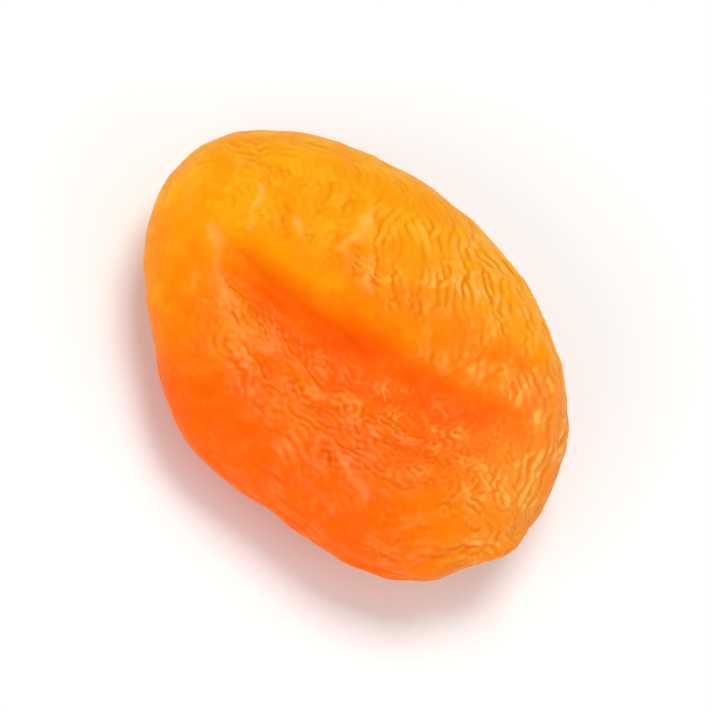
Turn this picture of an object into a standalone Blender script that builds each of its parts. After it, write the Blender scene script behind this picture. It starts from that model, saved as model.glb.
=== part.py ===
"""A whole pitted dried apricot, lying on its rounded side with the sunken side up.

The fruit is one solid. +X points to the stem end, +Y across the fruit and +Z up.
The origin is under the middle of the fruit, on the surface that it lies on.
Sizes are in millimetres until the last step, which turns the mesh into metres.
"""

from math import asin, atan2, cos, degrees, exp, hypot, pi, radians, sin

import bmesh
import bpy
from mathutils import Matrix, Vector, noise

METRES_PER_MM = 0.001

# Overall size
LENGTH = 42.5
WIDTH = 32.4
THICKNESS = 11.8

# Net of the skin: squares along each side of the six-sided ball that it starts from, drawn
# closer together along the crease of the hollow
NET_SQUARES = 31
NET_GATHER = 0.42
NET_GATHER_WIDTH = 0.3

# Outline seen from above: mean radius, then waves as (count, swell, direction in degrees)
MEAN_RADIUS = 18.1
OUTLINE_WAVES = ((1, 0.48, 23.0), (2, 2.33, 0.0), (4, 0.51, -7.0), (5, 0.27, 41.0))
STEM_SHOULDER_DIRECTION = -32.0
STEM_SHOULDER_SPAN = 22.0
STEM_SHOULDER_SWELL = 0.6

# Rounded rim: height of its widest line, and how far it swells above and below that line
RIM_LINE_HEIGHT = 5.3
SWELL_ABOVE = 5.6
SWELL_BELOW = 5.3
LOBE_EXTRA = 0.7
LOBE_DIRECTION = 118.0

# Where the rounding starts, as a share of the radius: near side, far side, both ends and below
CREST_SHARE_NEAR = 0.44
CREST_SHARE_FAR = 0.54
CREST_SHARE_ENDS = 0.60
SOLE_SHARE = 0.32

# The body bends like a saddle, so both ends sit a little higher than the sides
SADDLE_LIFT = 0.35

# Flat spot pressed into the rounded side where the fruit lies, and how much that side bulges
FLAT_SPOT_DEPTH = 0.22
SOLE_BULGE = 0.35

# Collapsed stone hollow: a wide bowl, shallower where the far lobe fills it
BOWL_MIDDLE = (0.8, -3.6)
BOWL_HALF_LENGTH = 17.0
BOWL_HALF_WIDTH = 10.0
BOWL_TURN = 8.0
BOWL_DEPTH = 1.7
BOWL_FLAT_SHARE = 0.1
LOBE_SHARE_OF_BOWL = 0.4

# Crease of the hollow: the far lobe's lip runs along this line and leans over the floor
CREASE_START = (-13.6, -5.4)
CREASE_DIRECTION = 22.5
CREASE_LENGTH = 21.5
CREASE_BOW = 0.6
CREASE_DEPTH = 1.6
CREASE_FLOOR_WIDTH = 3.6
CREASE_DEEPENS = (-0.05, 0.22)
CREASE_RUNS_OUT = (0.72, 1.1)
WALL_WIDTH = 1.3
WALL_WIDENING_AT_START = 4.0
WALL_TIGHTENS = (-0.3, 0.1)
WALL_WIDENING_AT_END = 6.0
WALL_LOOSENS = (0.8, 1.15)
LIP_HEIGHT = 0.4
LIP_WIDTH = 1.4
LIP_LEAN = 1.5
LIP_LEAN_FADE = 6.0

# Shallow dish between the end of the crease and the stem end
DISH_MIDDLE = (8.8, 1.0)
DISH_HALF_LENGTH = 7.0
DISH_HALF_WIDTH = 7.6
DISH_DEPTH = 1.5

# Distance from the rim's widest line over which the marks of either side reach their full height
MARKS_GROW = (1.0, 4.0)

# Raised folds of the upper side: (height, width, points along the fold)
TOP_FOLDS = (
    (0.30, 1.3, ((-13.9, -6.1), (-11.7, -6.9), (-9.6, -8.6), (-7.5, -8.6), (-4.8, -7.8), (-1.1, -7.1))),
    (0.32, 1.2, ((4.9, -10.1), (7.2, -9.9), (8.8, -9.5), (11.6, -10.1))),
    (0.35, 1.0, ((8.9, -6.5), (12.1, -6.8), (14.7, -5.9))),
    (0.35, 1.2, ((6.1, 8.2), (9.3, 7.5), (11.6, 6.0), (13.6, 4.0), (15.5, 2.1))),
    (0.35, 1.2, ((5.8, 13.4), (8.6, 12.6), (11.9, 10.5), (14.4, 8.2))),
    (0.25, 1.1, ((-15.2, 0.6), (-14.0, -0.9), (-13.1, -2.6))),
    (0.28, 1.0, ((-8.0, 5.4), (-7.3, 4.2), (-6.7, 3.0))),
    (0.30, 0.9, ((4.2, -3.4), (5.8, -4.2), (7.4, -4.5))),
    (0.40, 0.9, ((14.8, -2.1), (16.9, -2.1), (18.5, -1.3))),
)

# Grooves of the rounded side, in the same form but with a depth, and one shallow dent
SOLE_GROOVES = (
    (0.55, 0.9, ((19.0, -1.0), (15.5, 0.4), (12.0, 0.2), (8.8, 1.4))),
    (0.45, 0.9, ((17.0, -5.2), (13.4, -4.2), (10.6, -4.8))),
    (0.45, 0.9, ((16.6, 5.0), (13.0, 4.6), (10.2, 5.8), (7.0, 6.0))),
    (0.50, 1.0, ((-16.8, 3.4), (-13.0, 2.2), (-9.8, 3.2))),
    (0.40, 0.9, ((-15.0, -5.0), (-11.4, -5.6), (-8.6, -7.4), (-5.0, -8.2))),
)
SOLE_DENT_MIDDLE = (7.5, -6.5)
SOLE_DENT_WIDTH = 4.2
SOLE_DENT_DEPTH = 0.7

# Stem end: a puckered slit in the rim, a small lump over it and a notch beside it
SLIT_DIRECTION = -1.0
SLIT_SPAN = 9.0
SLIT_UP_THE_RIM = -1.6
SLIT_WIDTH = 1.1
SLIT_DEPTH = 1.2
LUMP_DIRECTION = -3.5
LUMP_SPAN = 3.6
LUMP_UP_THE_RIM = 1.5
LUMP_WIDTH = 2.6
LUMP_HEIGHT = 0.75
NOTCH_DIRECTION = -13.0
NOTCH_SPAN = 3.5
NOTCH_WIDTH = 6.0
NOTCH_DEPTH = 0.65

# Seam of the fruit: a faint groove along the rim, from the stem end round the near side
SEAM_FROM = -110.0
SEAM_TO = -20.0
SEAM_FADE = 30.0
SEAM_UP_THE_RIM = 0.5
SEAM_WIDTH = 1.3
SEAM_DEPTH = 0.3

# Wrinkles, wider apart than on a real skin: how they run, how far they wander and how they break off
WRINKLE_HEIGHT = 0.42
WRINKLE_SPACING = 2.7
SOLE_WRINKLE_SPACING = 3.6
LOBE_STREAK_DIRECTION = -40.0
FLOOR_STREAK_DIRECTION = 8.0
SOLE_STREAK_DIRECTION = 14.0
SLOW_WANDER = 2.2
QUICK_WANDER = 0.8
SLOW_SIZE = 7.0
QUICK_SIZE = 3.2
BREAK_SIZE = 4.5
BREAK_RANGE = (-0.45, 0.1)
CREST_BREADTH = 2.0
CREST_LOWERING = 1.25
RIM_SEED = 1.0
LOBE_SEED = 2.0
FLOOR_SEED = 3.0
SOLE_SEED = 4.0

# Where wrinkles are strong: their share of the height, and the ranges over which they set in
RIM_SHARE = 0.8
TOP_SHARE = 0.75
TOP_SHARE_ON_RIM = 0.5
SOLE_WRINKLE_SHARE = 0.7
STRONGEST_DIRECTION = 20.0
STRONG_SIDE = (0.05, 0.75)
RIM_BAND_STARTS = (-6.0, -1.0)
RIM_BAND_ENDS = (8.5, 11.0)
TOP_STARTS = (4.0, 8.0)
SOLE_STARTS = (6.0, 9.0)
LOBE_STREAKS_START = (-5.0, 4.0)
CLEAR_OF_SPOT = (8.0, 12.0)

# Slow unevenness of the whole body, calm where the fruit lies
UNEVEN_SIZE = 9.0
UNEVEN_HEIGHT = 0.4
UNEVEN_SHIFT = Vector((5.0, 1.0, 2.0))
CALM_WIDTH = 9.0

# Skin colour and gloss
SKIN_COLOR = (0.90, 0.27, 0.02, 1.0)
SKIN_ROUGHNESS = 0.45


def ease(start, end, value):
    """0 before start, 1 after end and a smooth rise between them."""
    share = min(max((value - start) / (end - start), 0.0), 1.0)
    return share * share * (3.0 - 2.0 * share)


def hump(distance, width):
    """1 in the middle and about a third at the width, on both sides."""
    return exp(-((distance / width) ** 2))


def hump_round(angle, direction, span):
    """A hump round a direction, all in degrees but for the angle."""
    apart = (degrees(angle) - direction + 180.0) % 360.0 - 180.0
    return hump(apart, span)


def outline_radius(angle):
    """Distance from the middle of the fruit to its outline."""
    radius = MEAN_RADIUS
    for count, swell, direction in OUTLINE_WAVES:
        radius += swell * cos(count * (angle - radians(direction)))
    return radius + STEM_SHOULDER_SWELL * hump_round(angle, STEM_SHOULDER_DIRECTION, STEM_SHOULDER_SPAN)


def distance_to_line(x, y, points):
    """Distance from a place to the nearest point of a line."""
    place = Vector((x, y))
    distances = []
    for first, second in zip(points, points[1:]):
        start = Vector(first)
        run = Vector(second) - start
        share = min(max((place - start).dot(run) / run.length_squared, 0.0), 1.0)
        distances.append((place - start - share * run).length)
    return min(distances)


def turned(x, y, middle, direction):
    """A place measured from a middle, along and across a direction in degrees."""
    along = cos(radians(direction))
    across = sin(radians(direction))
    dx = x - middle[0]
    dy = y - middle[1]
    return dx * along + dy * across, dy * along - dx * across


def bowl(x, y, middle, half_length, half_width, direction):
    """1 over the bottom of an oval bowl, 0 outside it."""
    along, across = turned(x, y, middle, direction)
    return 1.0 - ease(BOWL_FLAT_SHARE, 1.0, hypot(along / half_length, across / half_width))


def crease_place(x, y):
    """Share of the way along the crease, and the distance from it, positive on the lobe's side."""
    along, across = turned(x, y, CREASE_START, CREASE_DIRECTION)
    share = along / CREASE_LENGTH
    return share, across + CREASE_BOW * sin(pi * min(max(share, 0.0), 1.0))


def crease_strength(share):
    """How fully the crease is folded, from its start to where it runs out in the dish."""
    return ease(*CREASE_DEEPENS, share) * (1.0 - ease(*CREASE_RUNS_OUT, share))


def wall_place(x, y):
    """Share of the way along the crease, and the distance from the middle of the wall, before it leans."""
    share, across = crease_place(x, y)
    return share, across - LIP_LEAN * crease_strength(share) + 0.5 * WALL_WIDTH


def on_lobe(x, y):
    """0 on the hollow's floor and 1 on the far lobe, with the steep wall between them."""
    share, across = wall_place(x, y)
    width = WALL_WIDTH
    width += WALL_WIDENING_AT_START * (1.0 - ease(*WALL_TIGHTENS, share))
    width += WALL_WIDENING_AT_END * ease(*WALL_LOOSENS, share)
    return ease(-0.5 * width, 0.5 * width, across)


def hollow_depth(x, y):
    """How far the upper side has sunk below the rim."""
    share, across = wall_place(x, y)
    lobe = on_lobe(x, y)
    strength = crease_strength(share)
    depth = BOWL_DEPTH * bowl(x, y, BOWL_MIDDLE, BOWL_HALF_LENGTH, BOWL_HALF_WIDTH, BOWL_TURN)
    depth *= 1.0 - (1.0 - LOBE_SHARE_OF_BOWL) * lobe
    depth += DISH_DEPTH * bowl(x, y, DISH_MIDDLE, DISH_HALF_LENGTH, DISH_HALF_WIDTH, 0.0)
    depth += CREASE_DEPTH * strength * (1.0 - lobe) * hump(min(across, 0.0), CREASE_FLOOR_WIDTH)
    return depth - LIP_HEIGHT * strength * hump(across - LIP_WIDTH, LIP_WIDTH)


def lean_of_lip(x, y):
    """Sideways move of the skin that leans the lobe's lip over the crease."""
    share, across = wall_place(x, y)
    lean = LIP_LEAN * crease_strength(share) * ease(-0.5 * WALL_WIDTH, 0.5 * WALL_WIDTH, across)
    lean *= 1.0 - ease(0.5 * WALL_WIDTH, LIP_LEAN_FADE, across)
    return lean * sin(radians(CREASE_DIRECTION)), -lean * cos(radians(CREASE_DIRECTION))


def section_shape(angle, above):
    """Swell of one side of the rim, and where that side's rounding starts, as a share of the radius."""
    if not above:
        return SWELL_BELOW, SOLE_SHARE
    swell = SWELL_ABOVE + LOBE_EXTRA * cos(angle - radians(LOBE_DIRECTION))
    side_share = CREST_SHARE_FAR if angle > 0.0 else CREST_SHARE_NEAR
    return swell, side_share + (CREST_SHARE_ENDS - side_share) * cos(angle) ** 2


def body_point(direction):
    """Place on the smooth body for a direction on the ball, its angle, and how far up the rim it is.

    The last value is the distance along the skin from the widest line, negative below it.
    """
    angle = atan2(direction.y, direction.x)
    steepness = asin(max(-1.0, min(1.0, direction.z))) / (0.5 * pi)
    above = steepness >= 0.0
    radius = outline_radius(angle)
    swell, share = section_shape(angle, above)
    flat_run = share * radius
    round_run = 0.25 * pi * (radius - flat_run + swell)
    whole_run = flat_run + round_run
    from_middle = (1.0 - abs(steepness)) * whole_run
    if from_middle < flat_run:
        reach = from_middle
        rise = swell
        bulge = SOLE_BULGE * (1.0 - (from_middle / flat_run) ** 2)
    else:
        turn = 0.5 * pi * (from_middle - flat_run) / round_run
        reach = flat_run + (radius - flat_run) * sin(turn)
        rise = swell * cos(turn)
        bulge = 0.0
    x = reach * cos(angle)
    y = reach * sin(angle)
    saddle = SADDLE_LIFT * (x * x - y * y) / MEAN_RADIUS ** 2
    if above:
        height = RIM_LINE_HEIGHT + rise - hollow_depth(x, y)
        lean_x, lean_y = lean_of_lip(x, y)
        return Vector((x + lean_x, y + lean_y, height + saddle)), angle, steepness * whole_run
    return Vector((x, y, RIM_LINE_HEIGHT - rise - bulge + saddle)), angle, steepness * whole_run


def ridges(across, spacing, break_noise):
    """Round ridges with narrow valleys between them, broken off where the noise is low."""
    wave = abs(sin(pi * across / spacing))
    return (CREST_BREADTH * wave - CREST_LOWERING) * ease(*BREAK_RANGE, break_noise)


def wander(place, shift):
    """How far a wrinkle has strayed from its straight course."""
    slow = noise.noise(place / SLOW_SIZE + shift)
    quick = noise.noise(place / QUICK_SIZE + shift)
    return SLOW_WANDER * slow + QUICK_WANDER * quick


def streaks(place, direction, spacing, seed):
    """Wandering wrinkles that run in one direction, given in degrees."""
    shift = Vector((seed, -seed, 0.0))
    across = place.y * cos(radians(direction)) - place.x * sin(radians(direction))
    return ridges(across + wander(place, shift), spacing, noise.noise(place / BREAK_SIZE + shift))


def wrinkle_height(place, angle, up_the_rim):
    """Wrinkles: round the rim by the stem end, across the lobe, along the floor and below."""
    shift = Vector((RIM_SEED, 0.0, 0.0))
    breaks = noise.noise(place / BREAK_SIZE + shift)
    round_rim = ridges(up_the_rim + wander(place, shift), WRINKLE_SPACING, breaks)
    rim_band = ease(*RIM_BAND_STARTS, up_the_rim) * (1.0 - ease(*RIM_BAND_ENDS, up_the_rim))
    by_stem = ease(*STRONG_SIDE, cos(angle - radians(STRONGEST_DIRECTION)))
    height = RIM_SHARE * round_rim * rim_band * by_stem
    far = on_lobe(place.x, place.y)
    lobe = streaks(place, LOBE_STREAK_DIRECTION, WRINKLE_SPACING, LOBE_SEED) * far
    lobe *= ease(*LOBE_STREAKS_START, place.x)
    floor = streaks(place, FLOOR_STREAK_DIRECTION, WRINKLE_SPACING, FLOOR_SEED) * (1.0 - far)
    on_top = ease(*TOP_STARTS, up_the_rim) * (1.0 - TOP_SHARE_ON_RIM * rim_band)
    height += TOP_SHARE * (lobe + floor) * on_top
    below = ease(*SOLE_STARTS, -up_the_rim)
    clear_of_spot = ease(*CLEAR_OF_SPOT, hypot(place.x, place.y))
    sole = streaks(place, SOLE_STREAK_DIRECTION, SOLE_WRINKLE_SPACING, SOLE_SEED)
    return WRINKLE_HEIGHT * (height + SOLE_WRINKLE_SHARE * sole * below * clear_of_spot)


def fold_height(place, up_the_rim):
    """Raised folds on the upper side, and grooves and a dent on the lower side."""
    above = 0.0
    for fold, width, points in TOP_FOLDS:
        above += fold * hump(distance_to_line(place.x, place.y, points), width)
    below = 0.0
    for depth, width, points in SOLE_GROOVES:
        below += depth * hump(distance_to_line(place.x, place.y, points), width)
    to_dent = hypot(place.x - SOLE_DENT_MIDDLE[0], place.y - SOLE_DENT_MIDDLE[1])
    below += SOLE_DENT_DEPTH * hump(to_dent, SOLE_DENT_WIDTH)
    return above * ease(*MARKS_GROW, up_the_rim) - below * ease(*MARKS_GROW, -up_the_rim)


def stem_height(angle, up_the_rim):
    """The stem end's lump, slit and notch, and the seam that runs from it along the rim."""
    lump = hump_round(angle, LUMP_DIRECTION, LUMP_SPAN) * hump(up_the_rim - LUMP_UP_THE_RIM, LUMP_WIDTH)
    slit = hump_round(angle, SLIT_DIRECTION, SLIT_SPAN) * hump(up_the_rim - SLIT_UP_THE_RIM, SLIT_WIDTH)
    notch = hump_round(angle, NOTCH_DIRECTION, NOTCH_SPAN) * hump(up_the_rim, NOTCH_WIDTH)
    seam = hump(up_the_rim - SEAM_UP_THE_RIM, SEAM_WIDTH)
    seam *= ease(SEAM_FROM, SEAM_FROM + SEAM_FADE, degrees(angle))
    seam *= 1.0 - ease(SEAM_TO - SEAM_FADE, SEAM_TO, degrees(angle))
    return LUMP_HEIGHT * lump - SLIT_DEPTH * slit - NOTCH_DEPTH * notch - SEAM_DEPTH * seam


def uneven_height(place, up_the_rim):
    """Slow swelling and sinking of the body."""
    height = UNEVEN_HEIGHT * noise.noise(place / UNEVEN_SIZE + UNEVEN_SHIFT)
    if up_the_rim < 0.0:
        height *= 1.0 - hump(hypot(place.x, place.y), CALM_WIDTH)
    return height


def ball_net():
    """A ball of squares, made from a cube, whose lines run along the crease and gather there."""
    net = bmesh.new()
    bmesh.ops.create_cube(net, size=2.0)
    bmesh.ops.subdivide_edges(net, edges=net.edges[:], cuts=NET_SQUARES - 1, use_grid_fill=True)
    turn = Matrix.Rotation(radians(CREASE_DIRECTION), 3, "Z")
    for vert in net.verts:
        evened = Vector([sin(0.25 * pi * value) / cos(0.25 * pi * value) for value in vert.co])
        evened.normalize()
        evened.y *= 1.0 - NET_GATHER * hump(evened.y, NET_GATHER_WIDTH)
        vert.co = turn @ evened.normalized()
    return net


def raise_skin(net, places):
    """Move the skin along its normals, for its wrinkles, folds, stem end and unevenness."""
    net.normal_update()
    heights = []
    for vert, (angle, up_the_rim) in zip(net.verts, places):
        height = wrinkle_height(vert.co, angle, up_the_rim) + fold_height(vert.co, up_the_rim)
        height += stem_height(angle, up_the_rim) + uneven_height(vert.co, up_the_rim)
        heights.append(height)
    for vert, height in zip(net.verts, heights):
        vert.co += vert.normal * height


def fit_to_size(net):
    """Bring the body to its length, width and thickness, over the origin, with a flat spot below."""
    for axis, size in enumerate((LENGTH, WIDTH, THICKNESS + FLAT_SPOT_DEPTH)):
        lowest = min(vert.co[axis] for vert in net.verts)
        highest = max(vert.co[axis] for vert in net.verts)
        start = -FLAT_SPOT_DEPTH if axis == 2 else -0.5 * size
        for vert in net.verts:
            vert.co[axis] = start + (vert.co[axis] - lowest) * size / (highest - lowest)
    for vert in net.verts:
        vert.co.z = max(vert.co.z, 0.0)


def skin_material():
    """Plain orange skin with a soft shine."""
    material = bpy.data.materials.new("apricot_skin")
    material.use_nodes = True
    shader = material.node_tree.nodes["Principled BSDF"]
    shader.inputs["Base Color"].default_value = SKIN_COLOR
    shader.inputs["Roughness"].default_value = SKIN_ROUGHNESS
    shader.inputs["Metallic"].default_value = 0.0
    return material


def make_apricot():
    """Shape the ball into the fruit and put it in the scene."""
    net = ball_net()
    places = []
    for vert in net.verts:
        vert.co, angle, up_the_rim = body_point(vert.co)
        places.append((angle, up_the_rim))
    raise_skin(net, places)
    fit_to_size(net)
    bmesh.ops.triangulate(net, faces=net.faces[:])
    mesh = bpy.data.meshes.new("dried_apricot")
    net.to_mesh(mesh)
    net.free()
    mesh.transform(Matrix.Scale(METRES_PER_MM, 4))
    mesh.materials.append(skin_material())
    mesh.shade_smooth()
    fruit = bpy.data.objects.new("dried_apricot", mesh)
    bpy.context.scene.collection.objects.link(fruit)


for old in list(bpy.data.objects):
    bpy.data.objects.remove(old)
make_apricot()
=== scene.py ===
"""The looks of a whole pitted dried apricot: fine wrinkles, waxy translucent skin and soft light.

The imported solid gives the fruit's form. A copy of it becomes the skin: its net is made finer, the
skin is let grow too large for the flesh so that it buckles into fine wrinkles, and every place on
it keeps how red, how creased and how hollow it is, for the colours. +X points to the stem end, +Y
across the fruit, +Z up. Lengths are in metres, unless they are said to be in millimetres.
"""

from math import cos, pi, radians, sin

import bpy
import numpy as np
from mathutils import Matrix, Vector, noise

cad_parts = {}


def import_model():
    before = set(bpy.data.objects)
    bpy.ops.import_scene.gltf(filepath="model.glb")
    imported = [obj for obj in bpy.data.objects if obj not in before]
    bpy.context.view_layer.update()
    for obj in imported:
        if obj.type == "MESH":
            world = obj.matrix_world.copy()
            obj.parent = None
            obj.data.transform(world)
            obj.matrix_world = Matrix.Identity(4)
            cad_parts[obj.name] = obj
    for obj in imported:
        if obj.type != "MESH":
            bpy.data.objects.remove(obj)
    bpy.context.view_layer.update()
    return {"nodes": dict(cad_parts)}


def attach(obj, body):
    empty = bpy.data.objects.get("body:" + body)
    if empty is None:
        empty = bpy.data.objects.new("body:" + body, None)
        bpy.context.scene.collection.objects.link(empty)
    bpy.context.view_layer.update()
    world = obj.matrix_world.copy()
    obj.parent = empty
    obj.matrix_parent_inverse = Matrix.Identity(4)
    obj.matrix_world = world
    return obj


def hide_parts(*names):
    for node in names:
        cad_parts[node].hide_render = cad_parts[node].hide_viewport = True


MM = 0.001
TINY = 1e-12

# Finer net of the skin
MERGE_DISTANCE = 0.001 * MM
QUAD_LIMIT = radians(70.0)
SOFTENING_SHARE = 0.5
FOLD_SOFTENING_ROUNDS = 2
FACET_SOFTENING_ROUNDS = 2
MOST_BESIDE = 5

# Where the net is evened out: from how far along the fruit, fully from how far on, and the rounds
NET_EVENING = (14.0 * MM, 18.0 * MM)
NET_EVENING_ROUNDS = 40

# Outline of the fruit seen from above
HALF_LENGTH = 21.25 * MM
HALF_WIDTH = 16.2 * MM

# Hollow of the stone: where the skin counts as sunken, from the rim's height down to the floor
RIM_HEIGHT = 10.3 * MM
FLOOR_HEIGHT = 6.2 * MM

# Zones, each from where it starts to where it is full: the rim by the share of the way out, above
# and below, the sole by the upright part of the normal, and the lobe by the distance from the crease
RIM_ABOVE = (0.66, 0.86)
RIM_BELOW = (0.8, 0.95)
FACING_DOWN = (0.1, -0.5)
LOBE_EDGE = (-0.6 * MM, 0.9 * MM)

# Folds, and the finer wrinkles on them. Spacing and height are in millimetres. Where cells is high,
# crests break up into cells, and a high narrowing makes narrow valleys
FOLDS = {
    "name": "fold",
    "spacing": {"rim": 2.0, "lobe": 2.1, "floor": 2.2, "sole": 2.8},
    "cells": {"rim": 0.12, "lobe": 0.12, "floor": 0.12, "sole": 0.0},
    "height": 0.33,
    "narrowing": 1.5,
    "seed": 7,
}
WRINKLES = {
    "name": "wrinkle",
    "spacing": {"rim": 0.85, "lobe": 0.85, "floor": 0.78, "sole": 1.1},
    "cells": {"rim": 0.52, "lobe": 0.5, "floor": 0.15, "sole": 0.0},
    "height": 0.27,
    "narrowing": 2.5,
    "seed": 11,
}

# How uneven the spacing is, and over what distance
SPACING_WANDER = 0.25
SPACING_WANDER_SIZE = 3.0 * MM

# Grown heights are cut off at these limits, and skin at this level stays where it is
HEIGHT_LIMITS = (-1.2, 1.0)
LEVEL_HEIGHT = 0.7

# How wrinkles grow: how strongly the skin buckles, how straight each zone's wrinkles are, the steps,
# and the ties between points, shared out to those along the net's lines and across its squares. The
# bend and the slope are so many times the mean over the neighbours
GROWTH = 0.40
STRAIGHTENING = {"rim": 0.45, "lobe": 0.3, "floor": 0.12, "sole": 0.4}
FIRST_UNEVENNESS = 0.25
GROWTH_STEP = 0.04
GROWTH_STEPS = 360
STRONGEST_TIE = 3.6
SHORTEST_STEP = 0.08 * MM
TIE_SHARES = (2.0 / 3.0, 1.0 / 3.0)
BEND_OF_MEAN = 4.0
SLOPE_OF_MEAN = 2.0

# Share of the full wrinkle height in each zone, and how much more or less it is in parts of a zone.
# The most creased side is a direction in degrees, and its reach the cosines of the angles from it
STRENGTH = {"rim": 0.34, "lobe": 0.40, "floor": 0.12, "sole": 0.6}
CREASED_SIDE = 46.0
CREASED_SIDE_REACH = (0.3, 0.75)
CREASED_SIDE_MORE = 0.7
NEAR_SIDE = {"along": (7.0 * MM, 1.0 * MM), "across": (2.0 * MM, -6.0 * MM)}
NEAR_SIDE_LESS = 0.2
LOBE_TO_STEM = (-9.0 * MM, 3.0 * MM)
LOBE_TO_STEM_MORE = 0.45
BESIDE_CREASE = (-1.0 * MM, -4.0 * MM)
BESIDE_CREASE_MORE = 0.6
BEHIND_LIP = (0.5 * MM, 3.0 * MM)
LIP_ENDS = (0.75, 1.1)

# Patches in which the wrinkles are stronger or weaker, short breaks in them, and the resting spot,
# which is smooth: its reach, and how high up it counts
PATCH_SIZE = 3.6 * MM
PATCH_SHARE = 0.9
BREAK_SIZE = 1.5 * MM
BREAK_SHARE = 1.1
PATCH_LEVEL = 0.8
FLOOR_CALM = 0.5
SPOT_REACH = (6.0 * MM, 10.0 * MM)
SPOT_HEIGHT = 2.0 * MM

# Broad lumps, and from what height up the fruit has them
LUMP_SIZE = 2.4 * MM
LUMP_HEIGHT = 0.14 * MM
LUMP_START = (0.5 * MM, 2.0 * MM)

# Wrinkles gather toward the stem, and turn away from that course by these angles, in degrees
STEM = Vector((20.0 * MM, -1.6 * MM, 5.3 * MM))
TURNS = {"rim": -4.0, "lobe": -20.0, "floor": -16.0, "sole": 6.0}
ALONG_RIM = 1.3
SIDE_CHANGE = 4.0 * MM
DIRECTION_WANDER = 52.0
DIRECTION_WANDER_SIZE = 3.2 * MM

# Seeds of the smooth noise
SEEDS = {
    "spacing": 3.0,
    "direction": 5.0,
    "patches": 9.0,
    "lumps": 13.0,
    "breaks": 17.0,
    "marks along": 21.0,
    "marks across": 23.0,
    "marks": 27.0,
}

# Single marks of the upper side: height, width and course of each, all in millimetres
MARKS = (
    (0.24, 0.75, ((-13.8, -5.9), (-11.3, -7.1), (-8.8, -8.4), (-6.8, -9.1), (-5.1, -8.3), (-3.4, -7.3))),
    (0.26, 0.40, ((-14.7, 0.0), (-12.1, -3.2))),
    (-0.13, 0.35, ((-12.9, 1.0), (-11.2, 0.2))),
    (-0.13, 0.30, ((-10.9, -0.2), (-9.4, -1.4))),
    (0.22, 0.38, ((-11.9, 1.2), (-10.2, 0.4))),
    (0.22, 0.36, ((-10.4, 0.4), (-8.8, -0.8))),
    (0.14, 0.50, ((-19.2, -2.8), (-16.5, -5.7))),
    (0.12, 0.45, ((-17.4, 0.4), (-15.7, -2.6))),
    (0.50, 0.62, ((-7.4, 5.3), (-6.6, 3.8))),
    (0.24, 0.45, ((-6.6, 3.2), (-5.9, 2.0))),
    (0.22, 0.45, ((-4.5, 3.0), (-2.6, 1.5))),
    (0.16, 0.40, ((-6.2, 1.6), (-4.6, 0.5))),
    (0.18, 0.45, ((-11.7, -9.0), (-10.7, -9.7))),
    (-0.25, 0.65, ((5.8, -9.7), (6.2, -9.9))),
    (0.27, 0.50, ((5.5, -10.6), (4.8, -9.7), (5.5, -8.8), (7.2, -9.4), (9.1, -9.4), (10.6, -9.6))),
)

# How far marks stray from their course, over what distance, and how uneven and high they are
MARK_WANDER = 0.9 * MM
MARK_WANDER_SIZE = 1.9 * MM
MARK_UNEVENNESS = 0.9
MARK_HIGHEST = 1.3

# Crease line where the far lobe folds down over the hollow's floor
CREASE_START = (-13.6 * MM, -5.2 * MM)
CREASE_DIRECTION = radians(22.5)
CREASE_LENGTH = 21.5 * MM
CREASE_BOW = 0.6 * MM

# Where the crease is rounded off: by the distance from it, by the share of the way along it at
# either end, and by the height
CREASE_ROUNDING = (4.0 * MM, 1.3 * MM)
CREASE_ROUNDING_ENDS = ((-0.25, 0.0), (1.3, 0.9))
CREASE_ROUNDING_HEIGHT = (2.5 * MM, 4.0 * MM)
CREASE_ROUNDING_ROUNDS = 36

# How red the skin is: in the hollow, along the crease and on the lobe's lip over it. This red is partly
# the flesh's deeper orange and partly painted shade and painted glow where these lie in shade. The ends
# are shares of the way along the crease, and the red fades out low down and at the rim
HOLLOW_RED = 0.75
LOBE_LESS_RED = 0.75
CREASE_RED = 0.7
CREASE_RED_SHIFT = 1.95 * MM
CREASE_RED_WIDTH = {"lobe": 2.2 * MM, "floor": 3.3 * MM}
CREASE_RED_ENDS = ((-0.1, 0.3), (1.1, 1.6))
LIP_RED = 0.45
LIP_RED_PLACE = 3.5 * MM
LIP_RED_WIDTH = 2.5 * MM
LIP_RED_ENDS = ((-0.1, 0.5), (1.5, 2.0))
RED_LOWEST = FLOOR_HEIGHT - 1.5 * MM
RED_AT_RIM = (1.0, 0.8)
RED_ROUNDS = 6

# How the other values for the colours are read from the skin
CREASED_GAIN = 1.2
CREASED_ROUNDS = 6
CAVITY_ROUNDS = 60

# Skin colours, from the pale crest colours to the depth of the hollow. The pale crest colours are partly
# the crests' own tone and partly painted highlight, the seam and groove colours partly painted shade in
# the valleys, the near side colour painted shade, and the deep red painted shade and painted glow
CREST_COLOR = (0.94, 0.46, 0.09, 1.0)
TOP_CREST_COLOR = (0.94, 0.42, 0.025, 1.0)
LOW_CREST_COLOR = (0.93, 0.28, 0.085, 1.0)
NEAR_SIDE_SHADE_COLOR = (0.93, 0.118, 0.0, 1.0)
GOLD_COLOR = (0.93, 0.325, 0.0, 1.0)
YELLOW_COLOR = (0.93, 0.43, 0.006, 1.0)
SEAM_SHADE_COLOR = (0.78, 0.235, 0.0, 1.0)
GROOVE_SHADE_COLOR = (0.78, 0.11, 0.0, 1.0)
DEEP_RED_SHADE_COLOR = (1.0, 0.075, 0.0, 1.0)
BLOOM_COLOR = (0.94, 0.31, 0.02, 1.0)

# Uneven colour and fine relief: the size, detail and roughness of each cloud, and their mean
CLOUD_MEAN = 0.5
CLOUDS = {
    "gold": (9.0 * MM, 3.0, 0.5),
    "yellow": (3.0 * MM, 4.0, 0.6),
    "dust and sheen": (1.9 * MM, 4.0, 0.65),
    "mottle": (0.9 * MM, 4.0, 0.6),
    "pores": (0.30 * MM, 3.0, 0.6),
    "grain": (0.10 * MM, 2.0, 0.5),
}

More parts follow.
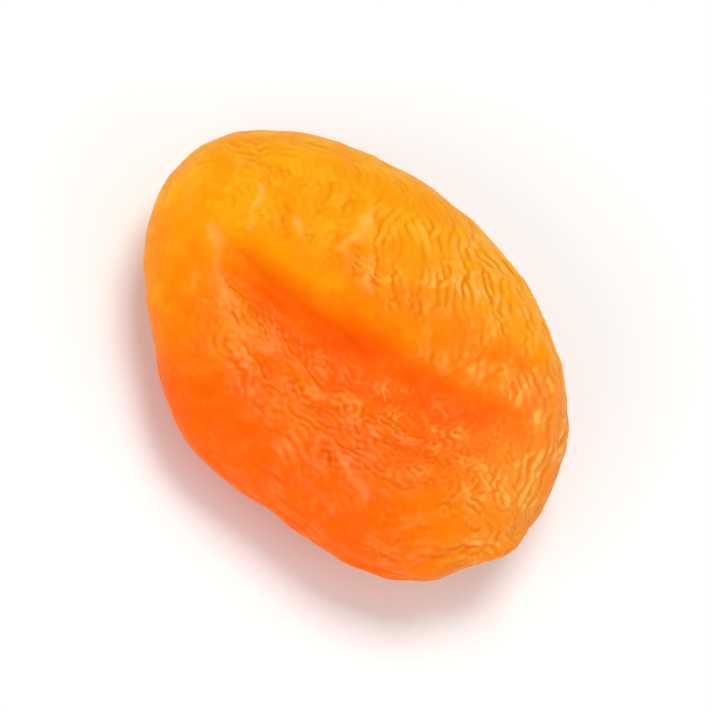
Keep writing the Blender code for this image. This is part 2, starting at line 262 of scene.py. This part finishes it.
# Where each colour comes in: the two ends of what it follows, and its share at either
RAMPS = {
    "gold": (-13.0 * MM, 10.0 * MM, 0.0, 1.0),
    "gold by the stem": (6.0 * MM, 20.0 * MM, 0.0, 0.5),
    "gold off the near side": (-13.0 * MM, -5.0 * MM, 0.0, 1.0),
    "yellow": (0.45, 0.65, 0.0, 0.7),
    "yellow off the stem end": (12.0 * MM, -2.0 * MM, 0.0, 1.0),
    "red and shade in the hollow": (0.1, 1.0, 0.0, 0.85),
    "painted shade in cavities": (0.02, 0.3, 0.0, 0.45),
    "pale and highlit crests": (-0.45, 0.4, 0.0, 0.8),
    "dust and sheen": (0.40, 0.62, 0.2, 1.4),
    "far side": (-1.0 * MM, 8.0 * MM, 0.0, 1.0),
    "far side to the stem": (-11.0 * MM, 4.0 * MM, 0.0, 1.0),
    "lit_far_rim": (3.0 * MM, 12.0 * MM, 0.3, 1.0),
    "marks": (0.02, 0.40, 0.0, 0.6),
    "seam_shade": (0.12, -0.45, 0.0, 0.85),
    "bloom": (0.45, 0.75, 0.0, 0.2),
    "roughness": (0.3, 0.7, 0.40, 0.56),
}

# How the gold turns along and across the fruit and in patches, which paints light on the far side and
# shade on the near side, how much folds, wrinkles and marks count as crests, and how the far rim by the
# stem, where the light falls brightest, is painted paler, with weaker valley shade, as painted light
GOLD_TURN = {"along": 0.6, "across": 0.9, "patches": 0.02}
CREST_SHARES = {"fold": 0.5, "wrinkle": 0.65, "mark": 1.4}
FAR_SIDE_TURN = 0.4
LIT_RIM_PALENESS = 0.34
LIT_RIM_LESS_SHADE = 0.4

# Fine relief that is too small for the net
GRAIN_SHARE = 0.35
RELIEF_STRENGTH = 0.6
RELIEF_DEPTH = 0.05 * MM

# How the light goes through the skin and off it
GLOSS_IOR = 1.42
GLOSS_LEVEL = 0.18
GLOSS_TINT = (1.0, 0.5, 0.12, 1.0)
GLOW_SHARE = 0.55
GLOW_DEPTH = 1.8 * MM
GLOW_SPREAD = (1.0, 0.32, 0.07)

# Camera
CAMERA_AZIMUTH = radians(18.0)
CAMERA_ELEVATION = radians(60.0)
CAMERA_ROLL = radians(35.0)
CAMERA_DISTANCE = 0.32
CAMERA_LENS = 200.0
CAMERA_NEAREST = 0.01
LOOK_AT = Vector((0.35 * MM, -0.1 * MM, 5.5 * MM))

# Lamps: name, direction as the camera sees it, distance, size, power in watts
LAMPS = (
    ("key", (0.35, 0.72, 0.65), 0.55, 0.28, 1.7),
    ("fill", (-0.60, -0.30, 0.75), 0.60, 0.50, 1.85),
    ("side", (0.80, -0.42, 0.55), 0.60, 0.45, 0.7),
)
SKY_COLOR = (1.0, 1.0, 1.0, 1.0)
SKY_STRENGTH = 0.42
FLOOR_SIZE = 3.0
FLOOR_COLOR = (0.93, 0.925, 0.915, 1.0)
FLOOR_ROUGHNESS = 0.9
FLOOR_GLOSS = 0.1


def ease(start, end, value):
    """0 up to start, 1 from end on and smooth between them, where end may be the smaller."""
    share = np.clip((value - start) / (end - start), 0.0, 1.0)
    return share * share * (3.0 - 2.0 * share)


def choose(piece):
    """Select one piece alone and make it the one that operators act on."""
    bpy.ops.object.select_all(action="DESELECT")
    piece.select_set(True)
    bpy.context.view_layer.objects.active = piece


def finish_with(piece, kind, **settings):
    """Give a piece a modifier and apply it."""
    choose(piece)
    modifier = piece.modifiers.new(kind.title(), kind)
    for name, value in settings.items():
        setattr(modifier, name, value)
    bpy.ops.object.modifier_apply(modifier=modifier.name)


def skin_from_solid(solid):
    """A copy of the solid, merged into one net of squares."""
    choose(solid)
    bpy.ops.object.duplicate()
    skin = bpy.context.view_layer.objects.active
    skin.name = "skin"
    choose(skin)
    bpy.ops.object.mode_set(mode="EDIT")
    bpy.ops.mesh.select_all(action="SELECT")
    bpy.ops.mesh.customdata_custom_splitnormals_clear()
    bpy.ops.mesh.remove_doubles(threshold=MERGE_DISTANCE)
    bpy.ops.mesh.tris_convert_to_quads(face_threshold=QUAD_LIMIT, shape_threshold=QUAD_LIMIT)
    bpy.ops.object.mode_set(mode="OBJECT")
    bpy.ops.object.shade_smooth()
    return skin


def read_skin(skin):
    """Places and normals of the skin's points."""
    count = len(skin.data.vertices)
    places = np.empty(3 * count)
    skin.data.vertices.foreach_get("co", places)
    normals = np.empty(3 * count)
    skin.data.vertex_normals.foreach_get("vector", normals)
    return places.reshape(-1, 3), normals.reshape(-1, 3)


def keep(skin, name, values):
    """Keep one value for each point of the skin, for its material."""
    attribute = skin.data.attributes.new(name, "FLOAT", "POINT")
    attribute.data.foreach_set("value", values.astype(np.float32))


def put_back(skin, places):
    """Move the skin's points to their new places, none of them below the ground."""
    places[:, 2] = np.maximum(places[:, 2], 0.0)
    skin.data.vertices.foreach_set("co", places.ravel())
    skin.data.update()


def beside(pairs, count):
    """For each point, those that it is paired with, filled up with itself, and how many they are."""
    here = np.concatenate((pairs[:, 0], pairs[:, 1]))
    there = np.concatenate((pairs[:, 1], pairs[:, 0]))
    order = np.argsort(here, kind="stable")
    here = here[order]
    there = there[order]
    counts = np.bincount(here, minlength=count)
    slots = np.arange(len(here)) - (np.cumsum(counts) - counts)[here]
    kept = slots < MOST_BESIDE
    table = np.repeat(np.arange(count)[None, :], MOST_BESIDE, axis=0)
    table[slots[kept], here[kept]] = there[kept]
    return table, np.minimum(counts, MOST_BESIDE)


def neighbours(skin):
    """Each point's neighbours along the net's lines, and those across its squares."""
    count = len(skin.data.vertices)
    lines = np.empty(2 * len(skin.data.edges), dtype=np.int64)
    skin.data.edges.foreach_get("vertices", lines)
    corners = np.empty(len(skin.data.loops), dtype=np.int64)
    skin.data.loops.foreach_get("vertex_index", corners)
    starts = np.empty(len(skin.data.polygons), dtype=np.int64)
    skin.data.polygons.foreach_get("loop_start", starts)
    sizes = np.empty(len(skin.data.polygons), dtype=np.int64)
    skin.data.polygons.foreach_get("loop_total", sizes)
    squares = corners[starts[sizes == 4][:, None] + np.arange(4)]
    across = np.concatenate((squares[:, [0, 2]], squares[:, [1, 3]]))
    return beside(lines.reshape(-1, 2), count), beside(across, count)


def unit(vectors):
    """Vectors brought to length one."""
    return vectors / np.maximum(np.linalg.norm(vectors, axis=1), TINY)[:, None]


def wander(places, size, name):
    """Smooth noise over the skin, about -0.6 to 0.6."""
    seed = SEEDS[name]
    shift = Vector((seed, 2.0 * seed, -seed))
    return np.array([noise.noise(Vector(place) / size + shift) for place in places])


def crease_place(places):
    """Share of the way along the crease, and the distance from it, positive on the lobe's side."""
    dx = places[:, 0] - CREASE_START[0]
    dy = places[:, 1] - CREASE_START[1]
    along = dx * cos(CREASE_DIRECTION) + dy * sin(CREASE_DIRECTION)
    across = dy * cos(CREASE_DIRECTION) - dx * sin(CREASE_DIRECTION)
    share = along / CREASE_LENGTH
    return share, across + CREASE_BOW * np.sin(pi * np.clip(share, 0.0, 1.0))


def way_out(places):
    """Share of the way from the fruit's middle out to its outline, seen from above."""
    return np.hypot(places[:, 0] / HALF_LENGTH, places[:, 1] / HALF_WIDTH)


def zones(places, normals):
    """How far each point belongs to the rim, the lobe, the hollow's floor and the sole."""
    below = ease(*FACING_DOWN, normals[:, 2])
    rim = ease(*RIM_ABOVE, way_out(places)) * (1.0 - below)
    rim = np.maximum(rim, ease(*RIM_BELOW, way_out(places)) * below)
    lobe = ease(*LOBE_EDGE, crease_place(places)[1])
    top = (1.0 - rim) * (1.0 - below)
    return {
        "rim": rim,
        "lobe": top * lobe,
        "floor": top * (1.0 - lobe),
        "sole": below * (1.0 - rim),
    }


def by_zone(values, zone):
    """A value for each point, from the values of the zones."""
    return sum(values[name] * zone[name] for name in zone)


def wrinkle_directions(places, normals, zone):
    """Direction in which the wrinkles run at each point of the skin: along the fruit, to its stem."""
    to_stem = unit(np.array(STEM) - places)
    side = np.clip((places[:, 1] - STEM.y) / SIDE_CHANGE, -1.0, 1.0)
    round_rim = np.zeros(places.shape)
    round_rim[:, 0] = places[:, 1] / HALF_WIDTH**2
    round_rim[:, 1] = -places[:, 0] / HALF_LENGTH**2
    to_stem += unit(round_rim) * (ALONG_RIM * zone["rim"] * side)[:, None]
    to_stem = unit(to_stem - np.sum(to_stem * normals, axis=1)[:, None] * normals)
    turn = radians(1.0) * by_zone(TURNS, zone)
    turn += radians(DIRECTION_WANDER) * wander(places, DIRECTION_WANDER_SIZE, "direction")
    beside_it = np.cross(normals, to_stem)
    return np.cos(turn)[:, None] * to_stem + np.sin(turn)[:, None] * beside_it


def ties_of(places, net, runs, reach):
    """How strongly each point is tied to its neighbours, for its bend and for its slope along runs."""
    tables = []
    spreads = []
    slopes = []
    all_counts = net[0][1] + net[1][1]
    for (table, counts), share in zip(net, TIE_SHARES):
        steps = places[table] - places
        lengths = np.maximum(np.sum(steps**2, axis=2), SHORTEST_STEP**2)
        joined = np.arange(MOST_BESIDE)[:, None] < counts
        spread = np.where(joined, BEND_OF_MEAN * share / (np.maximum(counts, 1) * lengths), 0.0)
        spreads.append(spread * reach**2)
        slope = np.where(joined, np.sum(steps * runs, axis=2) / lengths, 0.0)
        slopes.append(SLOPE_OF_MEAN * reach * slope / all_counts)
        tables.append(table)
    spread = np.concatenate(spreads)
    spread *= np.minimum(1.0, STRONGEST_TIE / spread.sum(axis=0))
    return np.concatenate(tables), spread.astype(np.float32), np.concatenate(slopes).astype(np.float32)


def grow_wrinkles(places, net, runs, spacing, straightening, cells, seed):
    """Let the skin grow until it buckles, and return its height, about -1 in valleys to 1 on crests.

    Waves of one spacing grow out of small unevenness and hold each other back. Waves along the
    direction in which wrinkles run are damped, so that the wrinkles line up. Where cells is high,
    crests win over valleys and break up into cells.
    """
    table, spread, along = ties_of(places, net, runs, spacing / (2.0 * pi))
    spread_sum = spread.sum(axis=0)
    along_sum = along.sum(axis=0)
    straightening = straightening.astype(np.float32)
    cells = cells.astype(np.float32)
    flat_table = table.ravel()

    def gathered(ties, height):
        return sum(tie * height[others] for tie, others in zip(ties, table))

    def spreading(height):
        return gathered(spread, height) - spread_sum * height

    def back_from_slope(slope):
        returned = np.bincount(flat_table, (along * slope).ravel(), len(slope))
        return returned.astype(np.float32) - along_sum * slope

    random = np.random.default_rng(seed)
    height = FIRST_UNEVENNESS * random.standard_normal(len(places)).astype(np.float32)
    for _ in range(GROWTH_STEPS):
        bend = height + spreading(height)
        slope = gathered(along, height) - along_sum * height
        change = GROWTH * height - bend - spreading(bend)
        change -= back_from_slope(straightening * slope)
        change += cells * height**2 - height**3
        height = height + GROWTH_STEP * change
    return height.astype(np.float64)


def soft_mean(values, net, rounds):
    """Values moved halfway to the mean of their neighbours, round by round."""
    if values.ndim == 2:
        return np.stack([soft_mean(column, net, rounds) for column in values.T], axis=1)
    table, counts = net[0]
    shares = (np.arange(MOST_BESIDE)[:, None] < counts) / counts
    for _ in range(rounds):
        values = 0.5 * (values + sum(share * values[others] for share, others in zip(shares, table)))
    return values


def round_crease(skin):
    """Round off the bottom of the crease, where thick skin can't fold sharply."""
    places, _ = read_skin(skin)
    share, across = crease_place(places)
    first_end, last_end = CREASE_ROUNDING_ENDS
    near = ease(*CREASE_ROUNDING, np.abs(across))
    near *= ease(*first_end, share) * ease(*last_end, share) * ease(*CREASE_ROUNDING_HEIGHT, places[:, 2])
    evened = soft_mean(places, neighbours(skin), CREASE_ROUNDING_ROUNDS)
    put_back(skin, places + (evened - places) * near[:, None])


def even_net(skin):
    """Slide the points at the two ends along the skin, until their net is as even as elsewhere."""
    net = neighbours(skin)
    for _ in range(NET_EVENING_ROUNDS):
        places, normals = read_skin(skin)
        steps = soft_mean(places, net, 1) - places
        steps -= np.sum(steps * normals, axis=1)[:, None] * normals
        at_end = ease(*NET_EVENING, np.abs(places[:, 0]))
        put_back(skin, places + steps * at_end[:, None])


def wrinkle_strength(places, zone):
    """Share of the full wrinkle height at each point."""
    x, y, z = places.T
    angle = np.arctan2(y / HALF_WIDTH, x / HALF_LENGTH)
    creased_side = ease(*CREASED_SIDE_REACH, np.cos(angle - radians(CREASED_SIDE)))
    near_side = ease(*NEAR_SIDE["across"], y) * ease(*NEAR_SIDE["along"], x)
    share, across = crease_place(places)
    behind_lip = np.maximum(ease(*BEHIND_LIP, across), ease(*LIP_ENDS, share))
    rim = STRENGTH["rim"] - NEAR_SIDE_LESS * near_side + CREASED_SIDE_MORE * creased_side
    lobe = STRENGTH["lobe"] + LOBE_TO_STEM_MORE * ease(*LOBE_TO_STEM, x)
    floor = STRENGTH["floor"] + BESIDE_CREASE_MORE * ease(*BESIDE_CREASE, across)
    strength = zone["rim"] * rim
    strength += zone["lobe"] * lobe * behind_lip
    strength += zone["floor"] * floor
    strength += zone["sole"] * STRENGTH["sole"]
    patches = PATCH_SHARE * wander(places, PATCH_SIZE, "patches")
    patches += BREAK_SHARE * wander(places, BREAK_SIZE, "breaks")
    patches = PATCH_LEVEL + patches * (1.0 - FLOOR_CALM * zone["floor"])
    clear_of_spot = np.where(z < SPOT_HEIGHT, ease(*SPOT_REACH, np.hypot(x, y)), 1.0)
    return np.tanh(np.maximum(strength * patches, 0.0)) * clear_of_spot


def to_line(places, course):
    """Distance from each point, seen from above, to the nearest place on a course of points."""
    nearest = np.full(len(places), np.inf)
    for first, second in zip(course, course[1:]):
        start = MM * np.array(first)
        run = MM * np.array(second) - start
        share = np.clip((places[:, :2] - start) @ run / (run @ run), 0.0, 1.0)
        apart = places[:, :2] - start - share[:, None] * run
        nearest = np.minimum(nearest, np.hypot(apart[:, 0], apart[:, 1]))
    return nearest


def raise_marks(skin):
    """Raise the upper side's single streaks and bumps, sink its dimples, and keep how high they are."""
    places, normals = read_skin(skin)
    strayed = places.copy()
    strayed[:, 0] += MARK_WANDER * wander(places, MARK_WANDER_SIZE, "marks along")
    strayed[:, 1] += MARK_WANDER * wander(places, MARK_WANDER_SIZE, "marks across")
    raised = np.zeros(len(places))
    for height, width, course in MARKS:
        raised += height * np.exp(-((to_line(strayed, course) / (width * MM)) ** 2))
    unevenness = 1.0 + MARK_UNEVENNESS * wander(places, MARK_WANDER_SIZE, "marks")
    raised *= np.clip(unevenness, 0.0, MARK_HIGHEST)
    raised *= MM * (places[:, 2] > RIM_HEIGHT / 2.0)
    put_back(skin, places + normals * raised[:, None])
    keep(skin, "mark", raised / MM)


def wrinkle(skin, size):
    """Raise the folds or the wrinkles, and keep their crests and valleys for the material."""
    places, normals = read_skin(skin)
    net = neighbours(skin)
    zone = zones(places, normals)
    runs = wrinkle_directions(places, normals, zone)
    spacing = MM * by_zone(size["spacing"], zone)
    spacing *= 1.0 + SPACING_WANDER * wander(places, SPACING_WANDER_SIZE, "spacing")
    straightening = by_zone(STRAIGHTENING, zone)
    cells = by_zone(size["cells"], zone)
    strength = wrinkle_strength(places, zone)
    height = grow_wrinkles(places, net, runs, spacing, straightening, cells, size["seed"])
    round_top = 1.0 - (0.5 * (1.0 - np.clip(height, *HEIGHT_LIMITS))) ** size["narrowing"]
    raised = (round_top - LEVEL_HEIGHT) * size["height"] * MM * strength
    put_back(skin, places + normals * raised[:, None])
    keep(skin, size["name"], np.clip(height * strength, *HEIGHT_LIMITS))


def raise_lumps(skin):
    """Broad low lumps all over, apart from the resting spot."""
    places, normals = read_skin(skin)
    lumps = LUMP_HEIGHT * wander(places, LUMP_SIZE, "lumps") * ease(*LUMP_START, places[:, 2])
    put_back(skin, places + normals * lumps[:, None])


def redness(places, zone):
    """How red each point is: in the hollow, along the crease and on the lip over it, partly the flesh's
    deeper orange and partly painted shade and painted glow.
    """
    height = places[:, 2]
    share, across = crease_place(places)
    from_red = across + CREASE_RED_SHIFT
    red_width = np.where(from_red > 0.0, CREASE_RED_WIDTH["lobe"], CREASE_RED_WIDTH["floor"])
    first_end, last_end = CREASE_RED_ENDS
    # Painted shade and painted glow along the crease, where the lobe's wall and the floor beside it lie
    # in shade
    crease_shade = np.exp(-((from_red / red_width) ** 2))
    crease_shade *= ease(*first_end, share) * (1.0 - ease(*last_end, share))
    first_end, last_end = LIP_RED_ENDS
    # Painted shade on the lobe's lip, where it turns down into the crease
    lip_shade = np.exp(-(((across - LIP_RED_PLACE) / LIP_RED_WIDTH) ** 2)) * ease(*first_end, share)
    lip_shade *= 1.0 - ease(*last_end, share)
    # Partly painted shade: lower in the hollow is redder, partly the flesh's own deeper orange
    red = HOLLOW_RED * ease(RIM_HEIGHT, FLOOR_HEIGHT, height) * (1.0 - LOBE_LESS_RED * zone["lobe"])
    red += CREASE_RED * crease_shade + LIP_RED * lip_shade
    red *= ease(RED_LOWEST, FLOOR_HEIGHT, height)
    return red * ease(*RED_AT_RIM, way_out(places))


def keep_depths(skin):
    """Keep how red, how creased and how hollow each place is, for the material, which paints shade and
    glow with the red and the hollowness.
    """
    places, normals = read_skin(skin)
    net = neighbours(skin)
    zone = zones(places, normals)
    around = soft_mean(places, net, CAVITY_ROUNDS)
    creased = soft_mean(wrinkle_strength(places, zone), net, CREASED_ROUNDS)
    keep(skin, "red", soft_mean(redness(places, zone), net, RED_ROUNDS))
    keep(skin, "creased", np.clip(CREASED_GAIN * creased, 0.0, 1.0))
    keep(skin, "cavity", np.sum((around - places) * normals, axis=1) / MM)


def make_skin(solid):
    """The wrinkled skin: folds on a fine net, then wrinkles on a finer one."""
    skin = skin_from_solid(solid)
    finish_with(skin, "SMOOTH", factor=SOFTENING_SHARE, iterations=FOLD_SOFTENING_ROUNDS)
    finish_with(skin, "SUBSURF", levels=1, render_levels=1)
    finish_with(skin, "SMOOTH", factor=SOFTENING_SHARE, iterations=FACET_SOFTENING_ROUNDS)
    round_crease(skin)
    even_net(skin)
    wrinkle(skin, FOLDS)
    finish_with(skin, "SUBSURF", levels=1, render_levels=1)
    raise_marks(skin)
    wrinkle(skin, WRINKLES)
    raise_lumps(skin)
    keep_depths(skin)
    return skin


def new_material(name):
    """A material, its node tree and its shader."""
    material = bpy.data.materials.new(name)
    material.use_nodes = True
    tree = material.node_tree
    return material, tree, tree.nodes["Principled BSDF"]


def fill(tree, socket, value):
    """Link an input to another node's output, or give it a number or a colour."""
    if isinstance(value, bpy.types.NodeSocket):
        tree.links.new(value, socket)
    else:
        socket.default_value = value


def add_node(tree, kind, inputs=None, **settings):
    """A node with its settings and with its inputs filled."""
    node = tree.nodes.new(kind)
    for name, value in settings.items():
        setattr(node, name, value)
    for name, value in (inputs or {}).items():
        fill(tree, node.inputs[name], value)
    return node


def attribute(tree, name):
    """The values kept on the skin under a name."""
    return add_node(tree, "ShaderNodeAttribute", attribute_name=name).outputs["Fac"]


def ramp(tree, value, name):
    """The share that a colour has where it follows a value, with soft ends."""
    low, high, at_low, at_high = RAMPS[name]
    inputs = {"Value": value, "From Min": low, "From Max": high, "To Min": at_low, "To Max": at_high}
    node = add_node(tree, "ShaderNodeMapRange", inputs, interpolation_type="SMOOTHSTEP")
    return node.outputs["Result"]


def blended(tree, share, first, second):
    """Two colours mixed."""
    node = add_node(tree, "ShaderNodeMix", data_type="RGBA")
    fill(tree, node.inputs[0], share)
    fill(tree, node.inputs[6], first)
    fill(tree, node.inputs[7], second)
    return node.outputs[2]


def combined(tree, how, first, second):
    """Two numbers put together by a sum, a product and the like."""
    node = add_node(tree, "ShaderNodeMath", operation=how)
    fill(tree, node.inputs[0], first)
    fill(tree, node.inputs[1], second)
    return node.outputs[0]


def product(tree, first, second):
    """Two numbers multiplied."""
    return combined(tree, "MULTIPLY", first, second)


def total(tree, first, second):
    """Two numbers added up."""
    return combined(tree, "ADD", first, second)


def cloud(tree, place, name):
    """Noise in patches, about 0.3 to 0.7."""
    size, detail, roughness = CLOUDS[name]
    inputs = {"Vector": place, "Scale": 1.0 / size, "Detail": detail, "Roughness": roughness}
    return add_node(tree, "ShaderNodeTexNoise", inputs).outputs["Fac"]


def gold_share(tree, place, along, across):
    """How golden the skin is: toward the far side and away from the stem, and by the stem itself. The
    turn toward the far side is painted light, with painted shade on the near side.
    """
    # Painted light: the far side, where the light falls, lighter and more golden; painted shade on the
    # near side
    turn = product(tree, across, GOLD_TURN["across"])
    turn = combined(tree, "SUBTRACT", turn, product(tree, along, GOLD_TURN["along"]))
    patches = combined(tree, "SUBTRACT", cloud(tree, place, "gold"), CLOUD_MEAN)
    turn = total(tree, turn, product(tree, patches, GOLD_TURN["patches"]))
    off_near_side = ramp(tree, across, "gold off the near side")
    by_stem = product(tree, ramp(tree, along, "gold by the stem"), off_near_side)
    return combined(tree, "MAXIMUM", ramp(tree, turn, "gold"), by_stem)


def skin_color(tree, place, mottle):
    """Golden rim, deep orange hollow, paler crests and marks, darker valleys and a faint bloom; the gold
    partly painted light, the hollow's red partly painted shade and glow, the pale crests and marks partly
    painted highlight and the dark valleys partly painted shade.
    """
    sides = add_node(tree, "ShaderNodeSeparateXYZ", {"Vector": place})
    along = sides.outputs["X"]
    across = sides.outputs["Y"]
    mark = attribute(tree, "mark")
    creased = attribute(tree, "creased")
    crest = product(tree, attribute(tree, "fold"), CREST_SHARES["fold"])
    crest = total(tree, crest, product(tree, attribute(tree, "wrinkle"), CREST_SHARES["wrinkle"]))

    gold = gold_share(tree, place, along, across)
    # Painted light and shade: golden on the lit far side, deeper orange on the shaded near side
    color = blended(tree, gold, NEAR_SIDE_SHADE_COLOR, GOLD_COLOR)
    yellow = ramp(tree, cloud(tree, place, "yellow"), "yellow")
    yellow = product(tree, yellow, ramp(tree, along, "yellow off the stem end"))
    color = blended(tree, product(tree, yellow, gold), color, YELLOW_COLOR)
    # Painted shade and painted glow: hollow and crease redder, partly the flesh's own deeper orange
    color = blended(tree, ramp(tree, attribute(tree, "red"), "red and shade in the hollow"), color, DEEP_RED_SHADE_COLOR)
    # Painted shade: cavities and creases of the skin, where shade falls, turned deep red
    color = blended(tree, ramp(tree, attribute(tree, "cavity"), "painted shade in cavities"), color, DEEP_RED_SHADE_COLOR)

    far_side = total(tree, across, product(tree, along, FAR_SIDE_TURN))
    far_side = ramp(tree, far_side, "far side")
    far_side = product(tree, far_side, ramp(tree, along, "far side to the stem"))
    # Painted light: the far rim toward the stem, where the light falls brightest, paler and with weaker
    # valley shade
    lit_far_rim = product(tree, far_side, ramp(tree, along, "lit_far_rim"))
    # Partly painted highlight: crests paler, partly their own paler tone
    pale = product(tree, ramp(tree, crest, "pale and highlit crests"), creased)
    pale = product(tree, pale, ramp(tree, cloud(tree, place, "dust and sheen"), "dust and sheen"))
    pale = combined(tree, "MAXIMUM", pale, product(tree, product(tree, lit_far_rim, creased), LIT_RIM_PALENESS))
    # Paler, bluer crest colour on the far side, where the light falls: partly painted highlight
    crest_color = blended(tree, gold, LOW_CREST_COLOR, TOP_CREST_COLOR)
    crest_color = blended(tree, far_side, crest_color, CREST_COLOR)
    color = blended(tree, pale, color, crest_color)
    # Partly painted highlight: raised marks paler, partly their own paler tone
    mark_color = blended(tree, gold, LOW_CREST_COLOR, CREST_COLOR)
    color = blended(tree, ramp(tree, mark, "marks"), color, mark_color)

    crest = total(tree, crest, product(tree, mark, CREST_SHARES["mark"]))
    # Partly painted shade: valleys and dimples darker, partly their own darker tone, less on the lit far
    # rim
    seam_shade = combined(tree, "SUBTRACT", 1.0, product(tree, lit_far_rim, LIT_RIM_LESS_SHADE))
    seam_shade = product(tree, seam_shade, ramp(tree, crest, "seam_shade"))
    color = blended(tree, seam_shade, color, blended(tree, gold, GROOVE_SHADE_COLOR, SEAM_SHADE_COLOR))
    return blended(tree, ramp(tree, mottle, "bloom"), color, BLOOM_COLOR)


def skin_relief(tree, place):
    """Pores and grain, as normals."""
    grain = product(tree, cloud(tree, place, "grain"), GRAIN_SHARE)
    inputs = {
        "Strength": RELIEF_STRENGTH,
        "Distance": RELIEF_DEPTH,
        "Height": total(tree, cloud(tree, place, "pores"), grain),
    }
    return add_node(tree, "ShaderNodeBump", inputs).outputs["Normal"]


def skin_material():
    """Waxy translucent skin of uneven orange."""
    material, tree, shader = new_material("apricot_skin")
    place = add_node(tree, "ShaderNodeTexCoord").outputs["Object"]
    mottle = cloud(tree, place, "mottle")
    tree.links.new(skin_color(tree, place, mottle), shader.inputs["Base Color"])
    tree.links.new(ramp(tree, mottle, "roughness"), shader.inputs["Roughness"])
    tree.links.new(skin_relief(tree, place), shader.inputs["Normal"])
    shader.inputs["Subsurface Weight"].default_value = GLOW_SHARE
    shader.inputs["Subsurface Scale"].default_value = GLOW_DEPTH
    shader.inputs["Subsurface Radius"].default_value = GLOW_SPREAD
    shader.inputs["IOR"].default_value = GLOSS_IOR
    shader.inputs["Specular IOR Level"].default_value = GLOSS_LEVEL
    shader.inputs["Specular Tint"].default_value = GLOSS_TINT
    return material


def floor_material():
    """Plain pale matte ground."""
    material, _, shader = new_material("pale_floor")
    shader.inputs["Base Color"].default_value = FLOOR_COLOR
    shader.inputs["Roughness"].default_value = FLOOR_ROUGHNESS
    shader.inputs["Specular IOR Level"].default_value = FLOOR_GLOSS
    return material


def lay_floor():
    """The ground that the fruit lies on."""
    bpy.ops.object.select_all(action="DESELECT")
    bpy.ops.mesh.primitive_plane_add(size=FLOOR_SIZE)
    floor = bpy.context.object
    floor.name = "floor"
    floor.data.materials.append(floor_material())


def camera_turn():
    """How the camera is turned: round the fruit, up, and rolled about its own axis."""
    back = Vector((
        sin(CAMERA_AZIMUTH) * cos(CAMERA_ELEVATION),
        -cos(CAMERA_AZIMUTH) * cos(CAMERA_ELEVATION),
        sin(CAMERA_ELEVATION),
    ))
    level = back.to_track_quat("Z", "Y").to_matrix().to_4x4()
    return back, level @ Matrix.Rotation(CAMERA_ROLL, 4, "Z")


def set_camera():
    """A long lens that looks down on the fruit, as in the photograph."""
    back, turn = camera_turn()
    camera = bpy.data.cameras.new("camera")
    camera.lens = CAMERA_LENS
    camera.clip_start = CAMERA_NEAREST
    viewer = bpy.data.objects.new("camera", camera)
    viewer.matrix_world = Matrix.Translation(LOOK_AT + back * CAMERA_DISTANCE) @ turn
    bpy.context.scene.collection.objects.link(viewer)
    bpy.context.scene.camera = viewer


def set_light():
    """Soft studio lamps and a bright even sky."""
    turn = camera_turn()[1].to_3x3()
    for name, seen, distance, size, power in LAMPS:
        lamp = bpy.data.lights.new(name, "AREA")
        lamp.energy = power
        lamp.size = size
        holder = bpy.data.objects.new(name, lamp)
        toward = (turn @ Vector(seen)).normalized()
        facing = toward.to_track_quat("Z", "Y").to_matrix().to_4x4()
        holder.matrix_world = Matrix.Translation(LOOK_AT + toward * distance) @ facing
        holder.visible_camera = False
        bpy.context.scene.collection.objects.link(holder)
    sky = bpy.data.worlds.new("sky")
    sky.use_nodes = True
    background = sky.node_tree.nodes["Background"]
    background.inputs["Color"].default_value = SKY_COLOR
    background.inputs["Strength"].default_value = SKY_STRENGTH
    bpy.context.scene.world = sky
    bpy.context.scene.view_settings.view_transform = "Standard"


def main():
    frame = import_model()

    skin = make_skin(frame["nodes"]["dried_apricot"])
    skin.data.materials.clear()
    skin.data.materials.append(skin_material())
    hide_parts("dried_apricot")
    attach(skin, "root")

    lay_floor()
    set_camera()
    set_light()


main()
